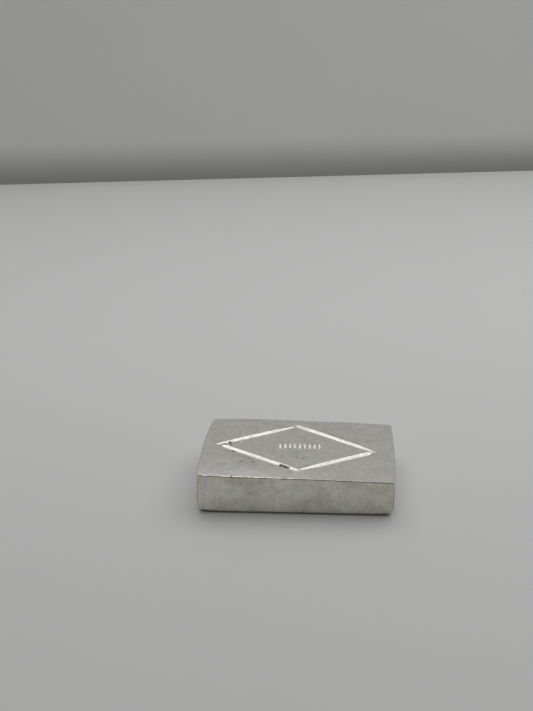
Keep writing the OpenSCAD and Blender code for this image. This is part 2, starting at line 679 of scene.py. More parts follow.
@dataclass(frozen=True)
class Rim:
    """The ragged rim that the press squeezed out along the top edge.

    Attributes:
        reach: How far it stands out from the wall, mm.
        rise: How far it stands above the top.
        roll_width: How far in from the edge it is rolled over.
        roll_drop: How far it falls over that width.
        notch_x: Where along the front a chip is missing from it.
        notch_width: Half the width of that chip.
    """

    reach: float = 0.12
    rise: float = 0.04
    roll_width: float = 0.17
    roll_drop: float = 0.065
    notch_x: float = -16.1
    notch_width: float = 0.17

    def strength(self, ring: np.ndarray, owner: np.ndarray, run: np.ndarray) -> np.ndarray:
        """How strongly the rim stands out at each point of the outline.

        Args:
            ring: Points of the outline, mm.
            owner: The side that each point is on.
            run: Distance of each point along the outline.

        Returns:
            Strength from 0, a worn round edge, to 1, a sharp ragged rim.
        """
        front = 0.12 + 0.50 * smooth_step(ring[:, 0], 5.0, -10.0)
        on_front, on_back = owner == Side.FRONT.value, owner == Side.BACK.value
        base = np.select([on_front, on_back], [front, np.full(len(run), 0.15)], default=0.1)
        uneven = 0.36 * Ripple(31, 0.8, 4.0).at(run) + 0.16 * Ripple(32, 4.0, 14.0).at(run)
        rough = np.clip(base + uneven * (0.3 + base), 0.0, 1.0) * (1 - self.notch(ring, owner))
        kernel = np.array([0.25, 0.5, 0.25])
        return np.convolve(np.concatenate([rough[-1:], rough, rough[:1]]), kernel, "valid")

    def notch(self, ring: np.ndarray, owner: np.ndarray) -> np.ndarray:
        """How deep in the missing chip each point of the outline is, from 0 to 1."""
        off = (ring[:, 0] - self.notch_x) / self.notch_width
        return np.exp(-(off**2)) * (owner == Side.FRONT.value)

    def top_rows(self) -> list[tuple[float, float, float]]:
        """Lists the rows on the top side, from the edge inward.

        Returns:
            For each row its distance inward, share of the rise, and drop of a worn edge.
        """
        return [
            (0.04, 0.0, 0.024),
            (0.09, 0.1, 0.012),
            (0.15, 0.5, 0.005),
            (0.22, 1.0, 0.002),
            (0.31, 0.5, 0.0),
            (0.42, 0.1, 0.0),
        ]

    def wall_rows(self) -> list[tuple[float, float, float]]:
        """Lists the rows under the lip, from the edge down.

        Returns:
            For each row its share of the reach, drop below the lip, and painted shadow under the lip.
        """
        # The last number of each row darkens the wall under the lip: painted shadow of the lip.
        return [
            (0.0, 0.02, 0.3),
            (0.25, 0.04, 0.8),
            (0.9, 0.065, 1.0),
            (1.3, 0.11, 1.0),
            (1.35, 0.18, 1.0),
            (1.2, 0.26, 0.6),
            (1.0, 0.34, 0.15),
            (1.0, 0.46, 0.0),
        ]


@dataclass
class SilverBar:
    """The whole bar: one closed skin and its finish.

    Attributes:
        low: Lowest corner of the space the bar may fill, mm.
        high: Highest corner of it, mm.
        slope: How much the top falls over the bar's length, mm.
        skin_depth: How far the top lies under the space's top, to leave room for the rim.
        foot_round: Radius under the front and the back.
        thick_round: Radius under the thick end.
        thin_round: Radius under the thin end.
        foot_lift: How far the underside lifts at the two ends.
        belly: How far the ends stand out at half height beside their corners.
        end_gap: How far the ends stay inside the space.
        side_gap: How far the front and the back stay inside it.
        rhombus_margin: How far the rhombus keeps from the ends and from the sides.
        top_ripple: Height of the top's slow ripple.
        near_fall: How far the top is rounded over at the front of the thick end.
        wall_inset: How far the walls stand in from the outline.
        skin_gap: How far the whole skin keeps inside the space.
        top_step: Spacing of points on the plain parts of the top.
        under_step: Spacing of points on the underside, along and across.
        sharp_angle: Angle from which an edge is shaded sharp, degrees.
        rows: Number of rows on the wall between rim and rounding.
        foot_rows: Number of rows on the rounding.
        dark_patch_middle: Where along the near left stroke the middle of its dark patch is.
        tarnished: Stretches of the strokes that have gone yellow again.
        rim: The ragged rim along the top edge.
        nick_row: The row of nicks inside the rhombus.
    """

    low: tuple[float, float, float]
    high: tuple[float, float, float]
    slope: float = 1.15
    skin_depth: float = 0.055
    foot_round: float = 1.0
    thick_round: float = 1.6
    thin_round: float = 1.9
    foot_lift: float = 0.28
    belly: float = 0.15
    end_gap: float = 0.03
    side_gap: float = 0.01
    rhombus_margin: tuple[float, float] = (5.15, 3.65)
    top_ripple: float = 0.022
    near_fall: float = 0.09
    wall_inset: float = 0.05
    skin_gap: float = 0.002
    top_step: float = 0.40
    under_step: tuple[float, float] = (0.9, 0.8)
    sharp_angle: float = 38.0
    rows: int = 16
    foot_rows: int = 14
    dark_patch_middle: float = 18.5
    tarnished: tuple[Tarnish, ...] = (
        Tarnish(3, 12.2, 5.4, 0.62),
        Tarnish(2, 22.0, 1.6),
        Tarnish(1, 22.3, 1.8),
    )
    rim: Rim = field(default_factory=Rim)
    nick_row: NickRow = field(default_factory=NickRow)

    def __post_init__(self) -> None:
        """Works out the outline and the marks from the space that the bar fills."""
        half_length = (self.high[0] - self.low[0]) / 2
        half_width = (self.high[1] - self.low[1]) / 2
        end_margin, side_margin = self.rhombus_margin
        self.outline = Outline(half_length - self.end_gap, half_width - self.side_gap)
        self.rhombus = self._rhombus(half_length - end_margin, half_width - side_margin)
        self.pits = self._pits()
        self.scratches = self._scratches()

    @staticmethod
    def _rhombus(half_x: float, half_y: float) -> list[Stroke]:
        """The four strokes, each set down a little off its true line.

        Args:
            half_x: Half the length of the rhombus, mm.
            half_y: Half its width, mm.

        Returns:
            The strokes in the order they were cut.
        """
        mx, my = -0.55, 0.33
        left, right = (mx - half_x, my), (mx + half_x, my - 0.7)
        back, front = (mx, my + half_y), (mx + 0.9, my - half_y)
        return [
            Stroke((left[0] - 0.95, left[1] + 0.15), (back[0] - 0.4, back[1] - 0.25), 0.58, 0.44,
                   Tip.POINTED, Tip.POINTED, -0.25, 101),
            Stroke((back[0] - 0.15, back[1] + 0.4), (right[0] + 0.75, right[1] - 0.1), 0.62, 0.44,
                   Tip.BLUNT, Tip.POINTED, -0.25, 202),
            Stroke((left[0] + 0.6, left[1] - 0.05), (front[0] + 0.2, front[1] - 0.15), 0.58, 0.35,
                   Tip.BLUNT, Tip.BLUNT, -0.25, 303),
            Stroke((front[0] - 0.05, front[1] + 0.4), (right[0] - 0.25, right[1] - 0.25), 0.66, 0.45,
                   Tip.POINTED, Tip.BLUNT, -0.25, 404),
        ]

    @staticmethod
    def _pits() -> list[Pit]:
        """Places the few dents and holes that stand out on the top, and many faint ones; the two dark ones
        where the left strokes cross hold painted shadow.

        Returns:
            The pits.
        """
        made = [
            Pit(-17.6, 2.25, 0.34, 0.14, 1.0),
            Pit(-17.5, 1.65, 0.36, 0.16, 1.0),
            Pit(-17.25, 0.85, 0.32, 0.08, 0.75),
            # The dark colour of these two pits is painted shadow where the upper and lower left strokes
            # cross.
            Pit(-19.3, 0.85, 0.28, 0.08, 1.0),
            Pit(-18.8, 1.0, 0.28, 0.08, 1.0),
            Pit(-16.45, -2.35, 0.42, 0.12, 1.0),
            Pit(-16.1, -2.65, 0.3, 0.08, 0.8),
            Pit(-4.35, -8.2, 0.45, 0.05, 0.8),
            Pit(-14.2, -7.2, 0.55, 0.04, 0.33),
            Pit(-11.2, -7.25, 0.6, 0.04, 0.36),
            Pit(-0.3, -4.45, 0.30, 0.05, 0.55),
            Pit(1.2, -4.6, 0.34, 0.05, 0.5),
            Pit(1.7, -4.65, 0.28, 0.04, 0.45),
            Pit(-13.3, -6.0, 0.26, 0.04, 0.4),
            Pit(-11.2, -6.4, 0.24, 0.04, 0.35),
        ]
        rng = np.random.default_rng(PIT_SEED)
        for _ in range(22):
            x, y = rng.uniform(-22, 22), rng.uniform(-12.5, 12.5)
            radius, depth, dirt_and_shade = rng.uniform(0.14, 0.3), rng.uniform(0.015, 0.04), rng.uniform(0.0, 0.28)
            made.append(Pit(x, y, radius, depth, dirt_and_shade))
        return made

    def _scratches(self) -> list[Scratch]:
        """Places the scuffs beside three of the strokes, and a few stray scratches; the short dark one under
        the start of the upper left stroke is a painted shadow line.

        Returns:
            The scratches.
        """
        rng = np.random.default_rng(SCRATCH_SEED)
        made = [
            Scratch((-15.6, -4.35), (-12.9, -5.45), 0.03, 0.6, 0.2),
            Scratch((-13.6, -5.15), (-10.7, -6.2), 0.03, 0.7, 0.2),
            Scratch((-12.9, -5.75), (-11.0, -6.5), 0.03, 0.55, 0.16),
            # This scratch's dark colour is a painted shadow line under the start of the upper left stroke.
            Scratch((-20.9, -0.1), (-19.3, -0.05), 0.03, 0.6, 0.18),
        ]
        for stroke, low, high, near, far, count in (
            (self.rhombus[2], 3.5, 10.5, -2.4, -0.95, 7),
            (self.rhombus[1], 4.0, 12.0, 0.95, 2.6, 6),
            (self.rhombus[3], 8.0, 16.0, -1.8, -0.9, 3),
        ):
            for _ in range(count):
                begin, off = rng.uniform(low, high - 2.0), rng.uniform(near, far)
                end, end_off = begin + rng.uniform(1.2, 3.5), off + rng.normal(0, 0.12)
                x, y = stroke.place(np.array([begin, end]), np.array([off, end_off]))
                start, stop = (float(x[0]), float(y[0])), (float(x[1]), float(y[1]))
                made.append(Scratch(start, stop, 0.03, 0.6, 0.11))
        for _ in range(14):
            x, y, turn = rng.uniform(-22, 22), rng.uniform(-12, 12), rng.uniform(0, math.pi)
            long = rng.uniform(1.5, 5.0)
            stop = (x + long * math.cos(turn), y + long * math.sin(turn))
            made.append(Scratch((x, y), stop, 0.015, 0.25))
        return made

    # ------------------------------------------------------------------ surface

    def plane_z(self, x: np.ndarray) -> np.ndarray:
        """Height of the plain sloping top."""
        middle = self.high[2] - self.skin_depth - self.slope / 2
        return middle - self.slope * x / (self.high[0] - self.low[0])

    def skin_z(self, x: np.ndarray, y: np.ndarray) -> np.ndarray:
        """Height of the top's smooth skin, rippled and rounded over towards the near left edge.

        Args:
            x: Places along the bar, mm.
            y: Places across it, mm.

        Returns:
            Heights, mm.
        """
        near = np.clip((-y - 10.3) / 4.5, 0, 1) * smooth_step(x, 8.0, -12.0)
        ripple = self.top_ripple * Ripple(1, 6.0, 26.0).at(x, y)
        return self.plane_z(x) + ripple - self.near_fall * near**2

    def top_surface(self, x: np.ndarray, y: np.ndarray) -> tuple[np.ndarray, np.ndarray]:
        """Height and marks all over the top, away from its rim.

        Args:
            x: Places along the bar, mm.
            y: Places across it, mm.

        Returns:
            Heights, and for each place how bright-cut it is, how much dirt and painted shade lie on it, and
            how wall-like and tarnished it is.
        """
        z = self.skin_z(x, y) + 0.004 * Ripple(2, 0.9, 3.0, 30).at(x, y)
        cut, lip = np.zeros_like(x), np.zeros_like(x)
        bright, dirt_and_shade = np.zeros_like(x), np.zeros_like(x)
        for pit in self.pits + self.scratches:
            depth, dark = pit.section(x, y)
            z, dirt_and_shade = z - depth, np.maximum(dirt_and_shade, dark)
        holes = dirt_and_shade > 0.5
        for stroke in self.rhombus:
            depth, ridge, shine = stroke.section(*stroke.local(x, y))
            cut, lip, bright = np.maximum(cut, depth), np.maximum(lip, ridge), np.maximum(bright, shine)
        depth, ridge, shine = self.nick_row.section(x, y)
        cut, lip, bright = np.maximum(cut, depth), np.maximum(lip, ridge), np.maximum(bright, shine)
        z = z - cut + np.where(cut > 0, 0.0, lip)
        dirt_and_shade = np.maximum(np.where(holes, dirt_and_shade, dirt_and_shade * (1 - bright)), self._dark_patch(x, y))
        bright = bright * (1 - dirt_and_shade) * (1 - self._dulling(x, y))
        return z, np.column_stack([bright, dirt_and_shade, np.zeros_like(x), self._tarnish(x, y) * bright])

    def _dark_patch(self, x: np.ndarray, y: np.ndarray) -> np.ndarray:
        """Darkens one stretch of the near left stroke.

        Args:
            x: Places along the bar, mm.
            y: Places across it, mm.

        Returns:
            How dark each place is made by it, from 0 to 1.
        """
        along, left = self.rhombus[2].local(x, y)
        patch = smooth_step(np.abs(along - self.dark_patch_middle), 1.6, 1.25) * smooth_step(left, 0.43, 0.30)
        patch = patch * smooth_step(left, -0.85, -0.65)
        return patch * np.clip(0.9 + 0.4 * Ripple(61, 0.4, 1.4).at(x, y), 0, 1)

    def _dulling(self, x: np.ndarray, y: np.ndarray) -> np.ndarray:
        """How much of their shine the cuts have lost.

        Args:
            x: Places along the bar, mm.
            y: Places across it, mm.

        Returns:
            Share of the shine that is lost, from 0 to 1.
        """
        along, left = self.rhombus[1].local(x, y)
        start = smooth_step(along, 5.0, 2.0) * smooth_step(np.abs(left), 1.1, 0.9)
        along, left = self.rhombus[3].local(x, y)
        middle = smooth_step(np.abs(along - 12.0), 9.5, 6.5) * smooth_step(np.abs(left), 1.1, 0.9)
        patchy = np.clip(0.75 + 0.6 * Ripple(63, 0.5, 2.0).at(x, y), 0, 1)
        strokes = np.maximum(0.62 * start, 0.20 * middle) * patchy
        return np.maximum(strokes, 0.30 * self.nick_row.covers(np.column_stack([x, y])))

    def _tarnish(self, x: np.ndarray, y: np.ndarray) -> np.ndarray:
        """How far the cuts have gone yellow again.

        Args:
            x: Places along the bar, mm.
            y: Places across it, mm.

        Returns:
            How yellow each place has gone, from 0 to 1.
        """
        total = np.zeros_like(x)
        for patch in self.tarnished:
            total = np.maximum(total, patch.share(*self.rhombus[patch.stroke].local(x, y)))
        return np.clip(total * (0.85 + 0.3 * Ripple(62, 0.6, 3.0).at(x, y)), 0, 1)

    def top_points(self, ring: np.ndarray) -> np.ndarray:
        """Scatters points over the top, close together only where it has detail.

        Args:
            ring: The innermost row of the rim, mm.

        Returns:
            Points inside that row.
        """
        bands = [stroke.grid() for stroke in self.rhombus]
        kept: list[np.ndarray] = []
        for i, band in enumerate(bands):
            free = ~self.nick_row.covers(band)
            for j in range(i):
                free &= ~self._in_band(self.rhombus[j], band, 0.0)
            kept.append(band[free])
        kept.append(self.nick_row.grid())
        for pit in self.pits + self.scratches:
            spots = pit.grid()
            free = ~self.nick_row.covers(spots)
            for stroke in self.rhombus:
                free &= ~self._in_band(stroke, spots, 0.0)
            kept.append(spots[free])
        plain = self._staggered(self.top_step, self.top_step * 0.87)
        rng = np.random.default_rng(POINT_SEED)
        plain += rng.uniform(-0.06, 0.06, plain.shape)
        free = ~self.nick_row.covers(plain)
        for stroke in self.rhombus:
            free &= ~self._in_band(stroke, plain, 0.12)
        for pit in self.pits:
            free &= np.hypot(plain[:, 0] - pit.x, plain[:, 1] - pit.y) > pit.radius * 1.3
        kept.append(plain[free])
        return self._inside(np.concatenate(kept), ring, 0.12)

    def _staggered(self, step: float, row_step: float) -> np.ndarray:
        """Sets points out over the bar in staggered rows.

        Args:
            step: Distance from one point of a row to the next, mm.
            row_step: Distance from one row to the next.

        Returns:
            The points, one a row.
        """
        along = np.arange(self.low[0], self.high[0], step)
        across = np.arange(self.low[1], self.high[1], row_step)
        u, v = np.meshgrid(along, across)
        u = u + (np.arange(len(v)) % 2)[:, None] * step / 2
        return np.stack([u.ravel(), v.ravel()], 1)

    @staticmethod
    def _in_band(stroke: Stroke, points: np.ndarray, margin: float) -> np.ndarray:
        """Tells which points lie in a stroke's own close-set band.

        Args:
            stroke: The stroke.
            points: Points of the top, mm.
            margin: How far past the band a point still counts.

        Returns:
            True for each point in the band.
        """
        along, left = stroke.local(points[:, 0], points[:, 1])
        wide, past = stroke.half_width + stroke.band + margin, stroke.end_band + margin
        return (along > -past) & (along < stroke.run + past) & (np.abs(left) < wide)

    @staticmethod
    def _inside(points: np.ndarray, ring: np.ndarray, margin: float) -> np.ndarray:
        """Keeps the points that lie inside a row by more than a margin, and none twice.

        Args:
            points: The points to choose from, mm.
            ring: The closed row.
            margin: How far inside it a point has to lie.

        Returns:
            The points that are kept.
        """
        tree = KDTree(len(ring))
        for i, p in enumerate(ring):
            tree.insert((p[0], p[1], 0.0), i)
        tree.balance()
        along = np.roll(ring, -1, 0) - np.roll(ring, 1, 0)
        outward = np.stack([along[:, 1], -along[:, 0]], 1)
        outward /= np.linalg.norm(outward, axis=1)[:, None]
        good = []
        for i, p in enumerate(points):
            _, near, _ = tree.find((p[0], p[1], 0.0))
            if np.dot(p - ring[near], outward[near]) < -margin:
                good.append(i)
        points = points[good]
        _, first = np.unique(np.round(points / CLOSEST).astype(int), axis=0, return_index=True)
        return points[np.sort(first)]

    # ------------------------------------------------------------------ mesh

    def foot_z(self, x: np.ndarray) -> np.ndarray:
        """How far the underside is off the floor at its edge."""
        return self.foot_lift * np.clip((np.abs(x) - 17.5) / 7.0, 0, 1) ** 2

    def rim_and_wall(self) -> tuple[list[np.ndarray], list[np.ndarray]]:
        """Every row of the skin from the innermost rim row, over the lip, down to the underside.

        Returns:
            Rows of points, and for each row its marks.
        """
        ring, normal, owner = self.outline.ring()
        run = np.concatenate([[0.0], np.cumsum(np.linalg.norm(np.diff(ring, axis=0), axis=1))])
        strong = self.rim.strength(ring, owner, run)
        notch = self.rim.notch(ring, owner)
        total = run[-1] + np.linalg.norm(ring[0] - ring[-1])
        seam = smooth_step(np.minimum(run, total - run), 0.0, 2.0)
        is_end = smooth_step(np.abs(normal[:, 0]), 0.3, 0.95)
        at_front = (owner == Side.FRONT.value).astype(float)
        tatter = (0.55 + 0.45 * np.clip(Ripple(33, 0.5, 2.2).at(run), -1, 1)) * strong * seam
        lip_in = 0.06 * (1 - tatter) + 0.16 * notch
        lip = ring - normal * lip_in[:, None]
        # glow is a painted highlight: the ragged front rim is given the bright fresh-cut colour where it
        # catches the light.
        glow = np.clip(3.0 * (tatter - 0.15), 0, 1) * at_front
        rows, marks = [], []

        def add(points: np.ndarray, z: np.ndarray, *values: np.ndarray | float) -> None:
            """Puts one more row on the skin, with its brightness and painted highlight, its dirt and painted
            shade, its wall share and its tarnish.
            """
            rows.append(np.column_stack([points, z]))
            marks.append(np.column_stack([np.broadcast_to(v, z.shape) for v in values]))

        for inward, rise, drop in reversed(self.rim.top_rows()):
            place = lip - normal * inward
            z, mark = self.top_surface(place[:, 0], place[:, 1])
            roll = max(0.0, 1.0 - inward / self.rim.roll_width)
            z = z + rise * self.rim.rise * tatter - drop * (1.4 - strong) - self.rim.roll_drop * roll * tatter
            near = max(0.0, 1.0 - inward / 0.2)
            # Painted shade: 0.42 * is_end here and 0.6 * is_end on the lip row darken the edges of the two
            # ends.
            dark = np.maximum(0.42 * is_end * near, notch * min(1.0, near * 1.6))
            shine = glow * (inward < self.rim.roll_width + 0.05)
            add(place, z, np.maximum(mark[:, 0], shine), np.maximum(mark[:, 1], dark), 0.0, mark[:, 3])
        plain_z = self.skin_z(lip[:, 0], lip[:, 1])
        edge_z = plain_z - self.rim.roll_drop * tatter - 0.022 * (1.2 - strong) - 0.14 * notch
        add(lip, edge_z, glow, np.maximum(0.6 * is_end, notch), 0.4, 0.0)
        bead = 0.35 + 0.65 * strong
        # Painted shadow: dark, line and under darken the wall just under the lip as if the lip shaded it.
        for share, drop, dark in self.rim.wall_rows():
            place = lip - normal * (share * self.rim.reach * bead)[:, None]
            thick = smooth_step(ring[:, 0], -6.0, 8.0)
            line = dark * np.clip(0.85 + 0.2 * thick + 0.3 * Ripple(34, 1.5, 6.0).at(run), 0.4, 1)
            under = np.maximum(line * (1 - 0.5 * is_end), notch * (drop < 0.4))
            below = np.maximum(drop - 0.05 * (1 - strong), 0.02 + 0.2 * drop)
            add(place, edge_z - below, glow * max(0.0, 1 - drop / 0.08), under, 1.0, 0.0)
        self._wall_below(add, ring, normal, run, rows[-1][:, 2], lip_in + self.rim.reach * bead, is_end, seam)
        return rows, marks

    def _wall_below(
        self,
        add: Callable[..., None],
        ring: np.ndarray,
        normal: np.ndarray,
        run: np.ndarray,
        start_z: np.ndarray,
        start_in: np.ndarray,
        is_end: np.ndarray,
        seam: np.ndarray,
    ) -> None:
        """Adds the rows from under the lip down to the edge of the underside.

        Args:
            add: Puts one row on the skin.
            ring: Points of the outline, mm.
            normal: Their outward normals.
            run: Distance of each point along the outline.
            start_z: Height of the row to go on from.
            start_in: How far that row stands in from the outline.
            is_end: How much each point belongs to an end.
            seam: Nought where the outline starts, so that unevenness meets itself.
        """
        half_x, half_y = self.outline.half_length, self.outline.half_width
        end_round = np.where(ring[:, 0] < 0, self.thick_round, self.thin_round)
        deepest = max(self.thick_round, self.thin_round)
        foot = self.foot_z(ring[:, 0])
        near_corner = smooth_step(np.abs(ring[:, 1]), 6.0, half_y)
        # corner picks the end faces just round the front corners, where stain below puts a line of painted
        # shade.
        corner = smooth_step(np.abs(normal[:, 0]), 0.55, 0.8) * smooth_step(ring[:, 1], -13.9, -14.5)
        steps = [(i / self.rows, None) for i in range(1, self.rows + 1)]
        steps += [(1.0, math.pi / 2 * j / self.foot_rows) for j in range(1, self.foot_rows + 1)]
        for t, angle in steps:
            if angle is None:
                height = (start_z - foot) * (1 - t) + deepest * t
            else:
                height = np.full_like(foot, deepest * (1 - math.sin(angle)))
            lip_share = 1 - float(smooth_step(np.array(t), 0.0, 0.3))
            settled = self.wall_inset + (start_in - self.wall_inset) * lip_share
            under_end = self._rounding(height, end_round)
            under_side = self._rounding(height, np.full_like(foot, self.foot_round))
            x = ring[:, 0] * (1 - under_end / half_x)
            y = ring[:, 1] * (1 - under_side / half_y)
            upright = np.clip((height - 0.3) / (start_z - 0.3), 0, 1)
            swell = self.belly * near_corner * is_end * np.sin(math.pi * upright**0.85)
            bumps = 0.02 * Ripple(41, 2.5, 11.0).at(run, height) * np.sin(math.pi * upright) * seam
            out = np.minimum(swell + bumps, 0.16) - settled
            place = np.column_stack([x, y]) + normal * out[:, None]
            # Painted shade: the foot is darkened towards the floor as a contact shadow; stain here holds only
            # painted shade, this and the line by the front corners.
            painted_foot_shade = 0.95 * smooth_step(height, 0.50, 0.16)
            stain = np.maximum(0.6 * corner * smooth_step(height, 0.8, 2.0), painted_foot_shade)
            add(place, height + foot + 0.004, 0.0, stain, 1.0, 0.0)

    @staticmethod
    def _rounding(height: np.ndarray, radius: np.ndarray) -> np.ndarray:
        """How far a rounded foot draws in at a height above the floor."""
        short = np.clip(radius - height, 0.0, radius)
        return radius - np.sqrt(np.maximum(radius**2 - short**2, 0.0))

    def underside_points(self, ring: np.ndarray) -> np.ndarray:
        """Scatters points sparsely over the underside, inside its outline."""
        return self._inside(self._staggered(*self.under_step), ring, 0.35)

    @staticmethod
    def _mesh_over(ring: np.ndarray, inner: np.ndarray) -> list[tuple[int, int, int]]:
        """Triangles that join a closed row of points and the points inside it.

        Args:
            ring: The closed row, mm.
            inner: The points inside it, mm.

        Returns:
            Triangles, numbered through the row first and then through the inner points.
        """
        count = len(ring)
        both = np.concatenate([ring, inner])
        spots = [Vector((float(p[0]), float(p[1]))) for p in both]
        border = [(i, (i + 1) % count) for i in range(count)]
        _, _, faces, origins, _, _ = delaunay_2d_cdt(spots, border, [], 0, 1e-6, True)
        back = [o[0] if o else -1 for o in origins]
        made = np.array([[back[i] for i in face] for face in faces])
        made = made[made.min(1) >= 0]
        middles = both[made].mean(1)
        outside = made.max(1) < count
        outside[outside] = ~_inside_row(middles[outside], ring)
        return [tuple(int(i) for i in face) for face in made[~outside]]

    def build(self) -> bpy.types.Object:
        """Makes the bar's closed skin.

        Returns:
            The bar as a Blender object in the frame's metres.
        """
        rows, marks = self.rim_and_wall()
        count = len(rows[0])
        inner = self.top_points(rows[0][:, :2])
        z, inner_mark = self.top_surface(inner[:, 0], inner[:, 1])
        foot_ring = rows[-1][:, :2]
        under = self.underside_points(foot_ring)
        ripple = 0.008 * Ripple(71, 5.0, 20.0).at(under[:, 0], under[:, 1])
        under_z = self.foot_z(under[:, 0]) * 0.9 + 0.014 + ripple
        points = np.concatenate([*rows, np.column_stack([inner, z]), np.column_stack([under, under_z])])
        mark = np.concatenate([*marks, inner_mark, np.tile([0.0, 0.25, 1.0, 0.0], (len(under), 1))])
        faces: list[tuple[int, ...]] = []
        for k in range(len(rows) - 1):
            a, b = k * count, (k + 1) * count
            for i in range(count):
                j = (i + 1) % count
                faces.append((a + i, b + i, b + j, a + j))
        top_start, under_start = len(rows) * count, len(rows) * count + len(inner)
        for face in self._mesh_over(rows[0][:, :2], inner):
            faces.append(tuple(i if i < count else i - count + top_start for i in face))
        shift = (len(rows) - 1) * count
        for face in self._mesh_over(foot_ring, under):
            numbered = [i + shift if i < count else i - count + under_start for i in face]
            faces.append(tuple(reversed(numbered)))
        points = np.clip(points, np.array(self.low) + self.skin_gap, np.array(self.high) - self.skin_gap)
        mesh = bpy.data.meshes.new("silver_bar")
        mesh.from_pydata((points * MM).tolist(), [], faces)
        mesh.update()
        for index, name in enumerate(("bright_cut_and_highlight", "dirt_and_shade", "wall", "tarnish")):
            layer = mesh.attributes.new(name, "FLOAT", "POINT")
            layer.data.foreach_set("value", mark[:, index].astype(np.float32))
        mesh.shade_smooth()
        mesh.set_sharp_from_angle(angle=math.radians(self.sharp_angle))
        bar = bpy.data.objects.new("silver_bar", mesh)
        bpy.context.scene.collection.objects.link(bar)
        return bar

    def dress(self, bar: bpy.types.Object, finish: "SilverFinish") -> None:
        """Gives the bar its finish and puts it in the place of the plain node.

        Args:
            bar: The bar.
            finish: Its finish.
        """
        bar.data.materials.append(finish.material())
        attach(bar, "root")
        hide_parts("ingot")


# --------------------------------------------------------------------------- finishes


class NodeBench:
    """A bench for wiring shader nodes with few words."""

    def __init__(self, tree: bpy.types.NodeTree) -> None:
        """Takes over a node tree and empties it."""
        self.tree = tree
        tree.nodes.clear()

    def add(
        self, kind: str, inputs: dict[str | int, object] | None = None, **settings: object
    ) -> bpy.types.Node:
        """Adds a node.

        Args:
            kind: The node's type name.
            inputs: Values or sockets for its inputs, by name or number.
            settings: The node's own settings.

        Returns:
            The node.
        """
        node = self.tree.nodes.new(kind)
        for name, value in settings.items():
            setattr(node, name, value)
        for key, value in (inputs or {}).items():
            if isinstance(value, bpy.types.NodeSocket):
                self.tree.links.new(value, node.inputs[key])
            else:
                node.inputs[key].default_value = value
        return node

    def maths(self, operation: str, a: object, b: object = 0.0, clamp: bool = False) -> bpy.types.NodeSocket:
        """One sum on two numbers."""
        return self.add("ShaderNodeMath", {0: a, 1: b}, operation=operation, use_clamp=clamp).outputs[0]

    def noise(
        self, where: object, scale: float, detail: float = 3.0, rough: float = 0.55
    ) -> bpy.types.NodeSocket:
        """A soft random pattern."""
        inputs = {"Vector": where, "Scale": scale, "Detail": detail, "Roughness": rough}
        return self.add("ShaderNodeTexNoise", inputs).outputs["Fac"]

    def rise(
        self, value: object, low: float, high: float, to_low: float = 0.0, to_high: float = 1.0
    ) -> bpy.types.NodeSocket:
        """Changes smoothly from one number to another as a value grows.

        Args:
            value: The value that grows.
            low: Where the change starts.
            high: Where the change ends; below low for a fall.
            to_low: The number at the start.
            to_high: The number at the end.

        Returns:
            The number for each value.
        """
        made = self.add(
            "ShaderNodeMapRange",
            {"Value": value, "From Min": low, "From Max": high, "To Min": to_low, "To Max": to_high},
            interpolation_type="SMOOTHSTEP",
        )
        return made.outputs["Result"]

    def blend(self, share: object, a: object, b: object, mode: str = "MIX") -> bpy.types.NodeSocket:
        """Mixes two colours.

        Args:
            share: How much of the second colour is taken.
            a: The first colour.
            b: The second colour.
            mode: How they are mixed, by Blender's name.

        Returns:
            The mixed colour.
        """
        made = self.add("ShaderNodeMix", data_type="RGBA", blend_type=mode)
        for socket, value in ((made.inputs[0], share), (made.inputs[6], a), (made.inputs[7], b)):
            if isinstance(value, bpy.types.NodeSocket):
                self.tree.links.new(value, socket)
            else:
                socket.default_value = value
        return made.outputs[2]

    def grey(self, value: object) -> bpy.types.NodeSocket:
        """A grey that is as light as a value."""
        return self.add("ShaderNodeCombineColor", {0: value, 1: value, 2: value}).outputs[0]

    def mapped(
        self, where: object, scale: tuple[float, float, float], turn: float = 0.0
    ) -> bpy.types.NodeSocket:
        """Stretched and turned coordinates."""
        made = self.add("ShaderNodeMapping", {"Vector": where, "Scale": scale, "Rotation": (0.0, 0.0, turn)})
        return made.outputs["Vector"]


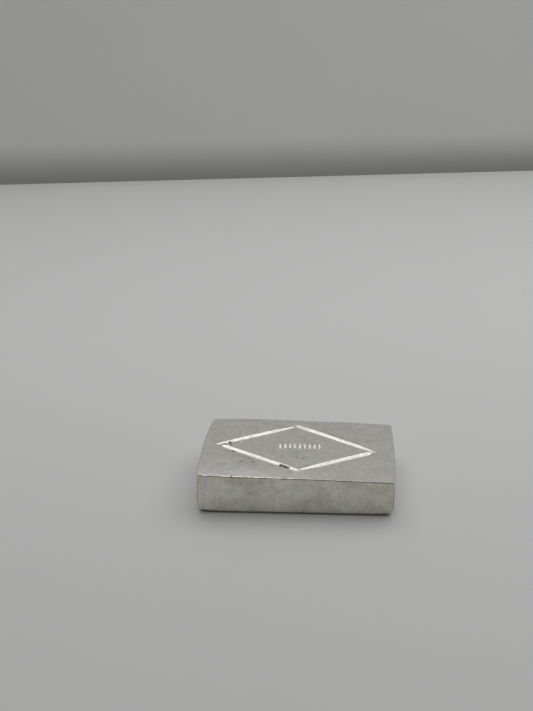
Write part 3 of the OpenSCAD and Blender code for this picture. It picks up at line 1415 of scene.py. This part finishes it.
@dataclass(frozen=True)
class SilverFinish:
    """Dull pressed silver with bright cuts, dirt in its hollows, a warm stain on its walls, and painted light
    and shade in its colour.

    Attributes:
        skin: Colour of the dull skin on the top.
        lit_front_skin: Lighter colour of the top near the front of the thick end, painted light where the top
            rolls over.
        lit_wall_skin: Paler copy of the top's silver on the walls and underside, painted light for how light
            falls on them.
        stain: Colour it turns where it is stained.
        blush: Colour of the few reddish spots on the walls.
        fresh_and_highlight: Colour of freshly cut metal, also used for the painted highlight along the front
            rim.
        yellowed: Colour of a cut that has tarnished again.
        grime_and_shade: Colour of the dirt in hollows, also used for painted shade.
        skin_roughness: Roughness of the dull skin.
        fresh_roughness: Roughness of freshly cut metal.
        dirt_and_shade_roughness: How much rougher dirt and painted shade make it.
        relief_depth: Depth of the finest relief, m.
    """

    skin: tuple[float, float, float, float] = (0.585, 0.58, 0.55, 1.0)
    lit_front_skin: tuple[float, float, float, float] = (0.645, 0.64, 0.605, 1.0)
    lit_wall_skin: tuple[float, float, float, float] = (0.86, 0.845, 0.785, 1.0)
    stain: tuple[float, float, float, float] = (0.70, 0.66, 0.575, 1.0)
    blush: tuple[float, float, float, float] = (0.50, 0.33, 0.28, 1.0)
    fresh_and_highlight: tuple[float, float, float, float] = (0.90, 0.89, 0.86, 1.0)
    yellowed: tuple[float, float, float, float] = (0.77, 0.715, 0.60, 1.0)
    grime_and_shade: tuple[float, float, float, float] = (0.10, 0.075, 0.05, 1.0)
    skin_roughness: float = 0.46
    fresh_roughness: float = 0.40
    dirt_and_shade_roughness: float = 0.2
    relief_depth: float = 0.00006

    def material(self) -> bpy.types.Material:
        """Makes the material.

        Returns:
            The material, ready for a mesh with the bar's four marks.
        """
        made = bpy.data.materials.new("pressed_silver")
        made.use_nodes = True
        bench = NodeBench(made.node_tree)
        place = bench.add("ShaderNodeTexCoord").outputs["Object"]
        where = bench.mapped(place, (1 / MM, 1 / MM, 1 / MM))
        bright = bench.add("ShaderNodeAttribute", attribute_name="bright_cut_and_highlight").outputs["Fac"]
        dirt_and_shade = bench.add("ShaderNodeAttribute", attribute_name="dirt_and_shade").outputs["Fac"]
        wall = bench.add("ShaderNodeAttribute", attribute_name="wall").outputs["Fac"]
        tarnish = bench.add("ShaderNodeAttribute", attribute_name="tarnish").outputs["Fac"]
        colour = self._colour(bench, where, bright, dirt_and_shade, wall, tarnish)
        roughness = self._roughness(bench, where, bright, dirt_and_shade)
        normal = self._relief(bench, where, bright)
        shader = bench.add(
            "ShaderNodeBsdfPrincipled",
            {"Base Color": colour, "Metallic": 1.0, "Roughness": roughness, "Normal": normal},
        )
        bench.add("ShaderNodeOutputMaterial", {"Surface": shader.outputs["BSDF"]})
        return made

    def _colour(
        self,
        bench: NodeBench,
        where: bpy.types.NodeSocket,
        bright: bpy.types.NodeSocket,
        dirt_and_shade: bpy.types.NodeSocket,
        wall: bpy.types.NodeSocket,
        tarnish: bpy.types.NodeSocket,
    ) -> bpy.types.NodeSocket:
        """The colour of the metal.

        Args:
            bench: Where the nodes are wired.
            where: Coordinates in millimetres.
            bright: How freshly cut the metal is, and where the painted rim highlight lies.
            dirt_and_shade: How much dirt and painted shade lie on it.
            wall: Nought on the top, one on the walls and underside.
            tarnish: How yellow a cut has gone again.

        Returns:
            The colour.
        """
        colour = self._skin_colour(bench, where, wall)
        shade = self._mottling(bench, where, wall)
        colour = bench.blend(1.0, colour, bench.grey(shade), "MULTIPLY")
        colour = self._wall_marks(bench, where, wall, colour)
        worn = bench.maths("MULTIPLY", bench.rise(bench.noise(where, 1.5, 4.0, 0.8), 0.50, 0.62), 0.80)
        worn = bench.maths("MULTIPLY", worn, bench.rise(bright, 0.74, 0.80))
        cut = bench.blend(worn, self.fresh_and_highlight, self.skin)
        cut = bench.blend(tarnish, cut, self.yellowed)
        # bright also carries the painted highlight on the front rim, drawn in the fresh-cut colour.
        colour = bench.blend(bright, colour, cut)
        # Dirt and painted shade (at the foot, under the lip, along the ends and where two strokes cross) both
        # darken the colour towards the grime colour here.
        return bench.blend(dirt_and_shade, colour, self.grime_and_shade)

    def _skin_colour(
        self, bench: NodeBench, where: bpy.types.NodeSocket, wall: bpy.types.NodeSocket
    ) -> bpy.types.NodeSocket:
        """The colour of the skin before it is mottled and marked, with painted light on the front strip of
        the thick end and on the walls.

        Args:
            bench: Where the nodes are wired.
            where: Coordinates in millimetres.
            wall: Nought on the top, one on the walls and underside.

        Returns:
            The colour.
        """
        axes = bench.add("ShaderNodeSeparateXYZ", {"Vector": where}).outputs
        # Painted light: the top is made lighter along the front of the thick end, where it rolls over at its
        # edge.
        front_strip, thick_half = bench.rise(axes["Y"], -8.0, -13.5), bench.rise(axes["X"], 10.0, -12.0)
        lit_front = bench.maths("MULTIPLY", front_strip, thick_half)
        top_skin = bench.blend(lit_front, self.skin, self.lit_front_skin)
        clouds = bench.rise(bench.noise(where, 0.13, 4.0), 0.38, 0.66)
        stain_share = bench.maths("MULTIPLY", clouds, bench.rise(wall, 0.0, 1.0, 0.15, 0.8))
        # Painted light and shade: the walls get a paler copy of the top's silver, as lit and shaded copies of
        # one metal.
        return bench.blend(stain_share, bench.blend(wall, top_skin, self.lit_wall_skin), self.stain)

    @staticmethod
    def _mottling(
        bench: NodeBench, where: bpy.types.NodeSocket, wall: bpy.types.NodeSocket
    ) -> bpy.types.NodeSocket:
        """How light and dark the skin is, from spot to spot.

        Args:
            bench: Where the nodes are wired.
            where: Coordinates in millimetres.
            wall: Nought on the top, one on the walls and underside.

        Returns:
            The shade, about one.
        """
        mottle = bench.rise(bench.noise(where, 0.8, 5.0, 0.65), 0.3, 0.7, 0.88, 1.04)
        speck = bench.rise(bench.noise(where, 5.0, 3.0, 0.7), 0.3, 0.7, 0.94, 1.04)
        blotch = bench.rise(bench.noise(where, 1.5, 4.0, 0.7), 0.32, 0.68, -0.075, 0.05)
        spots = bench.maths("MULTIPLY", mottle, speck)
        return bench.maths("ADD", spots, bench.maths("MULTIPLY", blotch, wall))

    def _wall_marks(
        self,
        bench: NodeBench,
        where: bpy.types.NodeSocket,
        wall: bpy.types.NodeSocket,
        colour: bpy.types.NodeSocket,
    ) -> bpy.types.NodeSocket:
        """Adds upright streaks, reddish spots and dark flecks, most of them on the walls.

        Args:
            bench: Where the nodes are wired.
            where: Coordinates in millimetres.
            wall: Nought on the top, one on the walls and underside.
            colour: The colour of the skin.

        Returns:
            The colour with its marks.
        """
        streaks = bench.noise(bench.mapped(where, (1.4, 1.4, 0.10)), 1.0, 3.0)
        streak_share = bench.maths("MULTIPLY", bench.rise(streaks, 0.50, 0.70, 0.0, 0.28), wall)
        colour = bench.blend(streak_share, colour, self.stain)
        spots = bench.noise(bench.mapped(where, (1.0, 1.0, 1.8), 0.5), 0.42, 4.0, 0.65)
        spot_share = bench.maths("MULTIPLY", bench.rise(spots, 0.58, 0.74, 0.0, 0.42), wall)
        colour = bench.blend(spot_share, colour, self.blush)
        flecks = bench.rise(bench.noise(where, 1.9, 2.0, 0.5), 0.66, 0.74, 0.0, 0.30)
        fleck_share = bench.maths("MULTIPLY", flecks, bench.rise(wall, 0.0, 1.0, 0.35, 1.0))
        return bench.blend(fleck_share, colour, self.grime_and_shade)

    def _roughness(
        self,
        bench: NodeBench,
        where: bpy.types.NodeSocket,
        bright: bpy.types.NodeSocket,
        dirt_and_shade: bpy.types.NodeSocket,
    ) -> bpy.types.NodeSocket:
        """How rough the metal is.

        Args:
            bench: Where the nodes are wired.
            where: Coordinates in millimetres.
            bright: How freshly cut the metal is, and where the painted rim highlight lies.
            dirt_and_shade: How much dirt and painted shade lie on it.

        Returns:
            The roughness.
        """
        patches = bench.rise(bench.noise(where, 0.5, 4.0), 0.3, 0.7, -0.06, 0.07)
        base = bench.maths("ADD", patches, self.skin_roughness)
        fresh_and_highlight = bench.maths("MULTIPLY", bright, self.fresh_roughness - self.skin_roughness)
        clean = bench.maths("ADD", base, fresh_and_highlight)
        return bench.maths("ADD", clean, bench.maths("MULTIPLY", dirt_and_shade, self.dirt_and_shade_roughness), clamp=True)

    def _relief(
        self, bench: NodeBench, where: bpy.types.NodeSocket, bright: bpy.types.NodeSocket
    ) -> bpy.types.NodeSocket:
        """Grain, scratches and soft dents too fine for the mesh.

        Args:
            bench: Where the nodes are wired.
            where: Coordinates in millimetres.
            bright: How freshly cut the metal is, and where the painted rim highlight lies.

        Returns:
            The normal.
        """
        grain = bench.noise(where, 6.0, 3.0, 0.65)
        dents = bench.noise(where, 1.1, 3.0)
        scratch_a = bench.noise(bench.mapped(where, (7.0, 0.30, 3.0), 0.5), 1.0, 2.0)
        scratch_b = bench.noise(bench.mapped(where, (0.35, 6.5, 3.0), -0.35), 1.0, 2.0)
        marks = bench.maths("ADD", bench.rise(scratch_a, 0.60, 0.68), bench.rise(scratch_b, 0.61, 0.69))
        height = bench.maths("ADD", bench.maths("MULTIPLY", grain, 0.30), bench.maths("MULTIPLY", dents, 0.9))
        height = bench.maths("SUBTRACT", height, bench.maths("MULTIPLY", marks, 0.10))
        quiet = bench.rise(bright, 0.0, 1.0, 0.55, 0.15)
        inputs = {"Strength": quiet, "Distance": self.relief_depth, "Height": height}
        return bench.add("ShaderNodeBump", inputs).outputs["Normal"]


@dataclass(frozen=True)
class PaperFinish:
    """Matte pale paper for the floor and the backdrop.

    Attributes:
        name: What the material is called.
        colour: Its colour.
        foot_shade: How much of that colour is left at its very foot.
        foot_height: Height over which the foot's shade fades, m.
        fibre_scale: How fine its fibres are.
        roughness: Its roughness.
    """

    name: str
    colour: tuple[float, float, float, float]
    foot_shade: float = 1.0
    foot_height: float = 0.02
    fibre_scale: float = 900.0
    roughness: float = 0.9

    def material(self) -> bpy.types.Material:
        """Makes the material.

        Returns:
            The material.
        """
        made = bpy.data.materials.new(self.name)
        made.use_nodes = True
        bench = NodeBench(made.node_tree)
        place = bench.add("ShaderNodeTexCoord").outputs["Object"]
        fibre = bench.noise(place, self.fibre_scale, 3.0)
        bump = bench.add("ShaderNodeBump", {"Strength": 0.15, "Distance": 0.0001, "Height": fibre})
        colour: object = self.colour
        if self.foot_shade < 1.0:
            height = bench.add("ShaderNodeSeparateXYZ", {"Vector": place}).outputs["Z"]
            share = bench.rise(height, 0.0, self.foot_height, self.foot_shade, 1.0)
            colour = bench.blend(1.0, self.colour, bench.grey(share), "MULTIPLY")
        inputs = {"Base Color": colour, "Roughness": self.roughness, "Specular IOR Level": 0.2}
        shader = bench.add("ShaderNodeBsdfPrincipled", inputs | {"Normal": bump.outputs["Normal"]})
        bench.add("ShaderNodeOutputMaterial", {"Surface": shader.outputs["BSDF"]})
        return made


# --------------------------------------------------------------------------- studio


@dataclass
class Studio:
    """Floor, backdrop, lights and camera.

    Attributes:
        floor_reach: Half the size of the floor, m.
        wall_middle: Where the backdrop's middle stands on the floor, m.
        wall_turn: How far the backdrop is turned, degrees.
        wall_height: Height of the backdrop, m.
        floor_finish: Finish of the floor.
        wall_finish: Finish of the backdrop.
        eye: Where the camera is, m.
        pitch: How far the camera looks down, degrees.
        turn: How far it is turned to the left, degrees.
        lens: Its focal length, mm.
        sensor_width: Width of its frame, mm.
        sky_colour: Colour of the even light from all round.
        sky: Strength of the even light from all round.
        softbox_place: Middle of the overhead softbox, m.
        softbox_size: Its length and width, m.
        softbox_power: Its power, W.
    """

    floor_reach: float = 1.2
    wall_middle: tuple[float, float] = (-0.0189, 0.2825)
    wall_turn: float = 7.6
    wall_height: float = 0.24
    floor_finish: PaperFinish = PaperFinish("floor_paper", (0.818, 0.823, 0.815, 1.0))
    wall_finish: PaperFinish = PaperFinish("backdrop_paper", (0.865, 0.865, 0.86, 1.0), 0.50, 0.022)
    eye: tuple[float, float, float] = (0.00088, -0.23648, 0.1494)
    pitch: float = 25.5
    turn: float = 2.18
    lens: float = 54.08
    sensor_width: float = 36.0
    sky_colour: tuple[float, float, float, float] = (1.0, 1.0, 0.99, 1.0)
    sky: float = 0.138
    softbox_place: tuple[float, float, float] = (0.14, 0.24, 0.54)
    softbox_size: tuple[float, float] = (1.0, 0.64)
    softbox_power: float = 2.32

    def build(self) -> None:
        """Makes the whole studio."""
        floor = self._sheet("paper_floor", self.floor_reach, self.floor_finish)
        wall = self._sheet("paper_backdrop", self.floor_reach, self.wall_finish, self.wall_height)
        wall.location = (*self.wall_middle, 0.0)
        wall.rotation_euler = (0.0, 0.0, math.radians(self.wall_turn))
        self._lights()
        self._camera()

    @staticmethod
    def _sheet(name: str, reach: float, finish: PaperFinish, height: float = 0.0) -> bpy.types.Object:
        """Makes one flat sheet of paper, lying if it has no height and standing if it has.

        Args:
            name: What it is called.
            reach: Half its length, m.
            finish: Its finish.
            height: Its height, m.

        Returns:
            The sheet.
        """
        if height > 0:
            corners = [(-reach, 0.0, 0.0), (reach, 0.0, 0.0), (reach, 0.0, height), (-reach, 0.0, height)]
        else:
            corners = [(-reach, -reach, 0.0), (reach, -reach, 0.0), (reach, reach, 0.0), (-reach, reach, 0.0)]
        mesh = bpy.data.meshes.new(name)
        mesh.from_pydata(corners, [], [(0, 1, 2, 3)])
        mesh.materials.append(finish.material())
        sheet = bpy.data.objects.new(name, mesh)
        bpy.context.scene.collection.objects.link(sheet)
        return sheet

    def _lights(self) -> None:
        """Makes an even sky and one large softbox overhead."""
        world = bpy.data.worlds.new("soft_room")
        world.use_nodes = True
        background = world.node_tree.nodes["Background"]
        background.inputs["Color"].default_value = self.sky_colour
        background.inputs["Strength"].default_value = self.sky
        bpy.context.scene.world = world
        data = bpy.data.lights.new("overhead_softbox", "AREA")
        data.shape, data.energy = "RECTANGLE", self.softbox_power
        data.size, data.size_y = self.softbox_size
        lamp = bpy.data.objects.new("overhead_softbox", data)
        lamp.location = self.softbox_place
        bpy.context.scene.collection.objects.link(lamp)

    def _camera(self) -> None:
        """Makes the camera."""
        data = bpy.data.cameras.new("camera")
        data.lens, data.sensor_width = self.lens, self.sensor_width
        data.clip_start, data.clip_end = 0.005, 20.0
        camera = bpy.data.objects.new("camera", data)
        camera.location = self.eye
        camera.rotation_euler = (math.radians(90 - self.pitch), 0.0, math.radians(self.turn))
        bpy.context.scene.collection.objects.link(camera)
        bpy.context.scene.camera = camera


# --------------------------------------------------------------------------- the script


def corners_in_mm(corner: Vector) -> tuple[float, float, float]:
    """A corner of the frame, in millimetres."""
    return corner[0] / MM, corner[1] / MM, corner[2] / MM


def main() -> None:
    """Builds the studio and the bar."""
    logging.basicConfig(level=logging.INFO, format="%(name)s: %(message)s")
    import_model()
    bpy.context.scene.view_settings.view_transform = "Standard"
    low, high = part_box("ingot")
    studio = Studio()
    studio.build()
    log.info("studio ready")
    maker = SilverBar(corners_in_mm(low), corners_in_mm(high))
    bar = maker.build()
    maker.dress(bar, SilverFinish())
    log.info("silver bar: %d points, %d faces", len(bar.data.vertices), len(bar.data.polygons))


if __name__ == "__main__":
    main()
